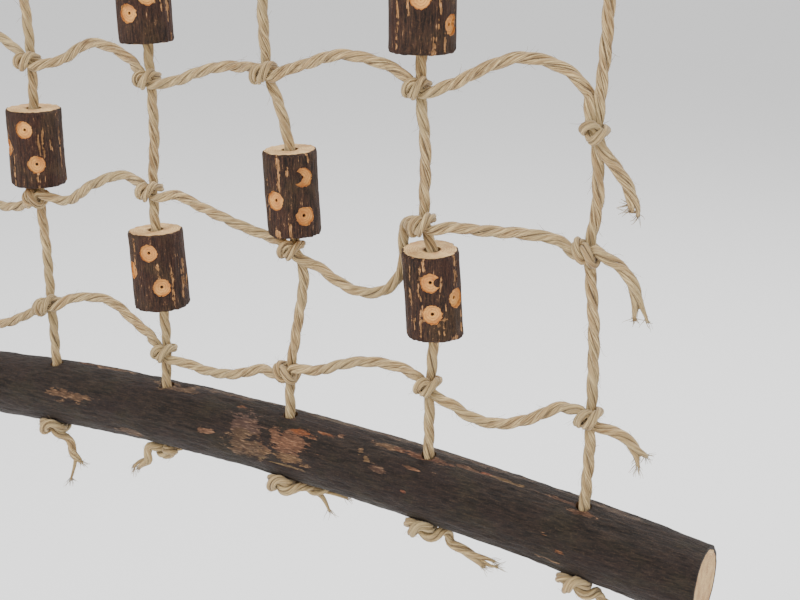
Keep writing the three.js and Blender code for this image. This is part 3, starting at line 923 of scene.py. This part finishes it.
# ---------------------------------------------------------------------------------------------
# The net hangs on two zinc-plated steel S-hooks, each through a screw eye turned into the top
# bar. Both are bent from round wire, and their cut ends are rounded.
# ---------------------------------------------------------------------------------------------
HOOK_WIRE, HOOK_BEND, HOOK_SPAN = 1.2, 5.0, 20.0
WIRE_END = ((0.25, 0.22), (0.35, 0.13), (0.35, 0.05))
EYE_WIRE, EYE_RADIUS, EYE_PIVOT, EYE_STANDOFF, SCREW_LENGTH = 1.0, 4.4, -22.5, 4.5, 9.0
n = Nodes("zinc_wire")
zinc = n.material
place = n.place()
spangle = n.noise(place, 900.0, 3.0, 0.6)
scratch = n.noise(n.stretch(place, (3000, 3000, 400)), 1.0, 2.0)
n.set(
    Base_Color=n.mix(n.spread(spangle, 0.35, 0.65), (176, 180, 184), (208, 210, 212)),
    Metallic=1.0,
    Roughness=n.spread(scratch, 0.3, 0.7, 0.22, 0.4),
    Normal=n.bump(scratch, 0.00004, 0.5),
)

for side, x in zip(("left", "right"), SCREW_X):
    # The hook: its two bends are spun from circles and bridged by the straight part between.
    ends = []
    for centre_z, start, sweep in ((0, 205, -225), (-HOOK_SPAN, 160, 225)):
        turn = math.radians(start)
        at = (x * MM, HOOK_BEND * math.cos(turn) * MM, (centre_z + HOOK_BEND * math.sin(turn)) * MM)
        bpy.ops.mesh.primitive_circle_add(vertices=20, radius=HOOK_WIRE * MM, location=at,
                                          rotation=(turn, 0, 0))
        section = bpy.context.object
        bpy.ops.object.transform_apply(location=True, rotation=True, scale=True)
        edit(section, "vertices", [True] * 20, bpy.ops.mesh.spin, steps=36,
             angle=math.radians(sweep), center=(x * MM, 0, centre_z * MM), axis=(1, 0, 0))
        ends.append(section)
    hook = join(ends)
    points = corners(hook)
    inner = []
    for centre_z, degrees in ((0, -20), (-HOOK_SPAN, 160)):
        turn = math.radians(degrees)
        at = np.array([x, HOOK_BEND * math.cos(turn), centre_z + HOOK_BEND * math.sin(turn)])
        inner.append(np.linalg.norm(points - at, axis=1) < HOOK_WIRE * 1.02)
    rim = inner[0] | inner[1]
    edit(hook, "edges", [all(rim[v] for v in edge.vertices) for edge in hook.data.edges],
         bpy.ops.mesh.bridge_edge_loops, number_cuts=14, interpolation="PATH", smoothness=0.6)
    use = np.zeros(len(hook.data.edges), int)
    index = {edge.key: k for k, edge in enumerate(hook.data.edges)}
    for face in hook.data.polygons:
        for key in face.edge_keys:
            use[index[key]] += 1
    edit(hook, "edges", use == 1, bpy.ops.mesh.edge_face_add)
    inset_caps(hook, lambda face: len(face.vertices) > 10, WIRE_END)
    face_outwards(hook)
    hook.data.materials.clear()
    hook.data.materials.append(zinc)
    settle(hook, f"wire_hook_{side}", 60)
    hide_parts(f"hook_{side}")
    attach(hook, "hooks")

    # The screw eye: a ring on a shank, whose thread is in the bar.
    bpy.ops.mesh.primitive_torus_add(
        major_radius=EYE_RADIUS * MM, minor_radius=EYE_WIRE * MM, major_segments=64, minor_segments=20,
        location=(x * MM, 0, (EYE_PIVOT - EYE_RADIUS) * MM), rotation=(math.pi / 2, 0, 0),
    )
    ring = bpy.context.object
    low = EYE_PIVOT - 2 * EYE_RADIUS - 0.6
    tip = EYE_PIVOT - 2 * EYE_RADIUS - EYE_WIRE - EYE_STANDOFF - SCREW_LENGTH
    bpy.ops.mesh.primitive_cylinder_add(
        vertices=20, radius=0.95 * EYE_WIRE * MM, depth=(low - tip) * MM,
        location=(x * MM, 0, (low + tip) / 2 * MM),
    )
    shank = bpy.context.object
    bpy.ops.object.transform_apply(location=True, rotation=True, scale=True)
    edit(shank, "edges", edges_along(shank, 2, 5), bpy.ops.mesh.subdivide, number_cuts=79)
    points = corners(shank)
    turn = np.arctan2(points[:, 1], points[:, 0] - x)
    thread_top = tip + SCREW_LENGTH + 1.0
    phase = (points[:, 2] / 1.1 + turn / (2 * math.pi)) % 1
    cut = np.clip((thread_top - points[:, 2]) / 0.8, 0, 1)
    taper = np.clip((points[:, 2] - tip) / 2.5, 0.08, 1) ** 0.7
    thickness = (1 + cut * (0.22 - 0.5 * np.abs(phase - 0.5) * 1.6)) * taper
    points[:, 0] = x + (points[:, 0] - x) * thickness
    points[:, 1] *= thickness
    move_corners(shank, points)
    eye = join([ring, shank])
    eye.data.materials.clear()
    eye.data.materials.append(zinc)
    settle(eye, f"wire_eye_{side}", 60)
    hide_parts(f"screw_eye_{side}")
    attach(eye, "top_bar")

# ---------------------------------------------------------------------------------------------
# Eight lengths of thinner branch are threaded on the uprights as blocks, free to slide. Each is
# sawn off square and bored, and shallow round faces are milled through its bark as decoration.
# ---------------------------------------------------------------------------------------------
BLOCK_LENGTH, BLOCK_RADIUS, BORE_RADIUS = 28.0, 10.0, 2.8
FACE_RADIUS, FACE_DEPTH, PILOT = 3.2, 1.1, 0.55
BLOCK_END = ((0.35, 0.3), (1.1, 0.05), (1.4, -0.05), (1.4, 0.03), (1.4, 0))
TOOL_RINGS = ((0.5, -0.05), (0.5, 0.05), (0.5, -0.05), (0.5, 0.05))
BLOCKS = [
    (0, -112, 0.97), (0, -211, 1.06), (1, None, 1.02), (2, -116, 0.94), (2, -212, 1.0),
    (3, None, 0.92), (4, -112, 1.05), (4, -203, 0.94),
]
# The last one leans on its rope and is sawn a little askew at its upper end.
LEAN, SKEW = {7: 0.05}, {7: 0.085, 5: 0.03}
# Degrees round from the front, height share, and where an island of bark is left, if any.
FACES = [
    [(20, 0.28, None), (-34, 0.02, None), (42, -0.18, None)],
    [(-12, 0.2, None), (2, -0.14, None), (48, 0.06, None)],
]
SPECIAL_FACES = {
    5: [(60, 0.22, (-2.4, 0.2, 2.0)), (-8, -0.05, None), (59, -0.24, None)],
    6: [(25, 0.09, (0.6, 2.9, 0.8)), (87, -0.2, (2.6, 0.2, 1.2))],
    7: [(23, 0.205, (2.6, 0.1, 1.5)), (27, -0.17, None), (82, -0.01, None)],
}
# Peeled streaks: degrees round from the front, from and to height share, width in mm.
STREAKS = {
    5: [(6, 0.46, 0.08, 1.0), (3, 0.5, 0.36, 0.5), (25.5, 0.35, 0.27, 0.8), (28, -0.35, -0.5, 1.1),
        (71, 0.5, 0.42, 1.3), (-1, -0.44, -0.5, 3.0), (-30, 0.2, -0.3, 0.5)],
    6: [(-17.6, 0.03, -0.46, 1.1), (4, 0.15, -0.1, 1.0), (59.5, 0.15, -0.05, 1.0),
        (56.5, -0.14, -0.22, 0.8), (51, -0.33, -0.42, 1.1), (49, -0.47, -0.5, 1.6),
        (70.4, -0.29, -0.45, 0.8), (-20, 0.5, 0.12, 0.8), (76, 0.4, 0.1, 0.9)],
    7: [(0, 0.38, 0.05, 0.7), (4, 0.05, -0.47, 0.8), (-21.5, 0.38, 0.2, 0.8), (-22, 0.1, -0.05, 1.2),
        (46, 0.25, 0.11, 0.8), (40, -0.28, -0.5, 0.8), (80, 0.5, 0.17, 1.0), (88, 0.42, 0.2, 0.8),
        (74, -0.47, -0.5, 3.0), (8, 0.48, 0.36, 0.8), (-12, -0.2, -0.4, 0.5), (52, -0.05, -0.4, 0.4)],
}
# A blade's mark across the bark: height share, from and to degrees.
SCRATCHES = {7: (-0.24, 3, 60)}
BLOCK_MOTTLE = [(58, 32, 24), (66, 50, 32), (94, 66, 44)]
block_bark = bark_finish("block_bark", 2, (66, 43, 30), BLOCK_MOTTLE, (22, 13, 9), (1.6, 2.2, 0.8))


def streaked(z, round_, radius, streaks, scratch=None):
    """How far the bark is peeled at each point, 0 to 1."""
    peeled = np.zeros(len(z))
    broken = 0.6 * ripple(z / 1.3, round_ * 5, 3.0)
    for degrees, high, low, width in streaks:
        off = (np.degrees(round_) - degrees + 180) % 360 - 180
        middle = off * math.pi / 180 * radius + 0.25 * np.sin(z / 2.3)
        inside = np.clip((0.4 * width + 0.25 - np.abs(middle)) / 0.45, 0, 1)
        ends = np.clip((high * BLOCK_LENGTH - z) / 1.2 + 1, 0, 1)
        ends *= np.clip((z - low * BLOCK_LENGTH) / 1.2 + 1, 0, 1)
        peeled = np.maximum(peeled, inside * ends * np.clip(0.85 + 2.4 * broken, 0, 1))
    if scratch:
        share, first, last = scratch
        turned = np.degrees(round_)
        line = np.clip(1.4 - np.abs(z - share * BLOCK_LENGTH - 0.004 * (turned - 30)) / 0.3, 0, 1)
        peeled = np.maximum(peeled, line * (turned > first) * (turned < last))
    return peeled


def upright_x(i, z):
    route = upright_routes[i]
    return route[int(np.argmin(np.abs(route[:, 2] - z))), 0]


for b, (i, z, girth) in enumerate(BLOCKS):
    if z is None:
        z = KNOTS[3][i][1] + (10 + BLOCK_LENGTH) / 2 + 0.3
    radius = girth * BLOCK_RADIUS
    upper, lower = upright_x(i, z + BLOCK_LENGTH / 2), upright_x(i, z - BLOCK_LENGTH / 2)
    bpy.ops.mesh.primitive_cylinder_add(vertices=120, radius=radius * MM, depth=BLOCK_LENGTH * MM)
    block = bpy.context.object
    edit(block, "edges", edges_along(block, 2, 10), bpy.ops.mesh.subdivide, number_cuts=79)
    inset_caps(block, lambda face: len(face.vertices) > 20, BLOCK_END)
    block.data.materials.append(block_bark)
    block.data.materials.append(cut_wood)
    for face in block.data.polygons:
        inside = math.hypot(face.center[0], face.center[1]) < (radius - 0.5) * MM
        if abs(face.normal[2]) > 0.7 and inside:
            face.material_index = 1
    streaks = STREAKS.get(b) or [
        (draw.uniform(-180, 180), high, high - draw.uniform(0.1, 0.5), draw.uniform(0.6, 1.2))
        for high in draw.uniform(-0.2, 0.5, 12)
    ]
    streaks = streaks + [
        (draw.uniform(90, 280), high, high - draw.uniform(0.1, 0.5), draw.uniform(0.6, 1.2))
        for high in draw.uniform(-0.2, 0.5, 8)
    ]
    points = corners(block)
    px, py, pz = points.T
    round_ = np.arctan2(px, -py)
    cx, cy = np.sin(round_) * radius, np.cos(round_) * radius
    seed = 13.7 * b
    relief = 0.4 * ripple(cx / 9, cy / 9, pz / 40 + seed)
    relief += 0.2 * ripple(cx / 1.5, cy / 1.5, pz / 16 + seed)
    relief += 0.18 * ripple(cx / 0.7, cy / 0.7, pz / 6 + seed)
    relief -= 0.3 * streaked(pz, round_, radius, streaks, SCRATCHES.get(b)) + 0.1
    rim = np.clip((np.abs(pz) - BLOCK_LENGTH / 2 + 0.5) / 0.5, 0, 1) * (np.hypot(px, py) > radius - 0.6)
    relief -= rim * (0.3 + 0.5 * ripple(cx / 1.0, cy / 1.0, pz / 9 + seed))
    splinters = np.clip((-pz - BLOCK_LENGTH / 2 + 2) / 2, 0, 1) * (np.hypot(px, py) > radius - 0.6)
    relief += 0.35 * splinters * ripple(cx / 0.9, cy / 0.9, pz / 3 + seed)
    scale = 1 + relief / radius
    pz = pz + 0.25 * ripple(px / 1.6, py / 1.6, seed + 5) * (np.abs(pz) > BLOCK_LENGTH / 2 - 0.4)
    towards_front = 0.49 * px - 0.87 * py
    pz = pz - SKEW.get(b, 0) * towards_front * np.clip((pz - 6) / 7, 0, 1)
    px = px - LEAN.get(b, 0) * pz
    move_corners(block, np.stack([px * scale, py * scale, pz], -1))
    faces = SPECIAL_FACES.get(b) or [(a, h, None) for a, h, _ in FACES[b % 2]]
    cutters = [hole_cutter(0, 0, 0, BORE_RADIUS, 60)]
    for degrees, share, island in faces:
        turn = math.radians(degrees)
        bpy.ops.mesh.primitive_cylinder_add(
            vertices=48, radius=FACE_RADIUS * MM, depth=10 * MM, rotation=(math.pi / 2, 0, 0),
        )
        mill = bpy.context.object
        mill.data.materials.append(cut_wood)
        bpy.ops.object.transform_apply(location=True, rotation=True, scale=True)
        inset_caps(mill, lambda face: face.normal[1] > 0.9 and len(face.vertices) > 20, TOOL_RINGS)
        shape = corners(mill)
        edge = np.arctan2(shape[:, 2], shape[:, 0])
        out = np.hypot(shape[:, 0], shape[:, 2]) > FACE_RADIUS - 0.1
        ragged = 1 + out * 0.16 * ripple(np.cos(edge) * 5, np.sin(edge) * 5, seed + degrees)
        shape[:, 0] *= ragged
        shape[:, 2] *= ragged
        shape[:, 1] += -5 - radius + FACE_DEPTH
        move_corners(mill, shape)
        if island:
            keep = hole_cutter(island[0], 0, island[1], island[2], 60, 24)
            spot = corners(keep)
            spot = np.stack([spot[:, 0], spot[:, 2], spot[:, 1]], -1)
            spot[:, 2] += island[1]
            spot[:, 1] -= island[1]
            move_corners(keep, spot)
            face_outwards(keep)
            drill(mill, keep)
        centre_hole = hole_cutter(0, 0, 0, PILOT, 3, 14)
        sx, sy, sz = corners(centre_hole).T
        move_corners(centre_hole, np.stack([sx, sz - radius + FACE_DEPTH + 0.4, sy], -1))
        face_outwards(centre_hole)
        for cutter in (mill, centre_hole):
            spot = corners(cutter)
            sx, sy = spot[:, 0].copy(), spot[:, 1].copy()
            spot[:, 0] = sx * math.cos(turn) - sy * math.sin(turn)
            spot[:, 1] = sx * math.sin(turn) + sy * math.cos(turn)
            spot[:, 2] += share * BLOCK_LENGTH
            move_corners(cutter, spot)
            cutters.append(cutter)
    for cutter in cutters:
        drill(block, cutter)
    px, py, pz = corners(block).T
    round_ = np.arctan2(px, -py)
    peeled = streaked(pz, round_, radius, streaks, SCRATCHES.get(b))
    tint = np.tile(np.array(paint(184, 134, 84)[:3]), (len(px), 1))
    ring, fresh = np.hypot(px, py), np.zeros(len(px))
    # Darker inside the bore and deep in the pilot holes of the milled faces.
    burnt = np.where(ring < BORE_RADIUS + 0.1, 0.55, 0.0)
    for degrees, share, _ in faces:
        turn = math.radians(degrees)
        off = np.hypot(px * math.cos(turn) + py * math.sin(turn), pz - share * BLOCK_LENGTH)
        depth = px * math.sin(turn) - py * math.cos(turn)
        inside = (off < FACE_RADIUS + 0.3) & (depth > 0)
        ring, fresh = np.where(inside, off, ring), np.where(inside, 1, fresh)
        burnt = np.where(inside & (off < PILOT + 0.1) & (depth < radius - FACE_DEPTH - 0.3), 1, burnt)
    mark(block, worn=peeled, tint=tint, ring=ring, fresh=fresh, burnt=burnt)
    block.location = ((upper + lower) / 2 * MM, NET_FORWARD * MM, (z + NET_DATUM) * MM)
    block.rotation_euler = (0, math.atan2(upper - lower, BLOCK_LENGTH), 0)
    settle(block, f"bark_block_{b + 1}", 35)
    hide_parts(f"block_{b + 1}")
    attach(block, f"block_{b + 1}")

# ---------------------------------------------------------------------------------------------
# The floor is a pale sheet below the net, lit by large soft lamps and an even pale sky.
# ---------------------------------------------------------------------------------------------
bpy.ops.object.select_all(action="DESELECT")
bpy.ops.mesh.primitive_plane_add(size=12, location=(0, 0, -0.75))
floor = bpy.context.object
floor.name = "floor"
pale = Nodes("pale_floor")
pale.set(Base_Color=paint(250, 250, 250), Roughness=0.9)
floor.data.materials.append(pale.material)

for name, place, power, size in (
    ("key_lamp", (-0.5, -1.3, 0.9), 36, 1.0),
    ("fill_lamp", (1.5, -0.9, 0.2), 15, 1.2),
    ("back_lamp", (0.3, 1.1, 1.1), 34, 1.2),
):
    bpy.ops.object.light_add(type="AREA", location=place)
    lamp = bpy.context.object
    lamp.name = name
    lamp.data.energy = power
    lamp.data.size = size
    aim = Vector((0.06, 0, -0.25)) - Vector(place)
    lamp.rotation_euler = aim.to_track_quat("-Z", "Y").to_euler()

world = bpy.data.worlds.new("pale_sky")
bpy.context.scene.world = world
world.use_nodes = True
world.node_tree.nodes["Background"].inputs["Color"].default_value = (1, 1, 1, 1)
world.node_tree.nodes["Background"].inputs["Strength"].default_value = 1.0
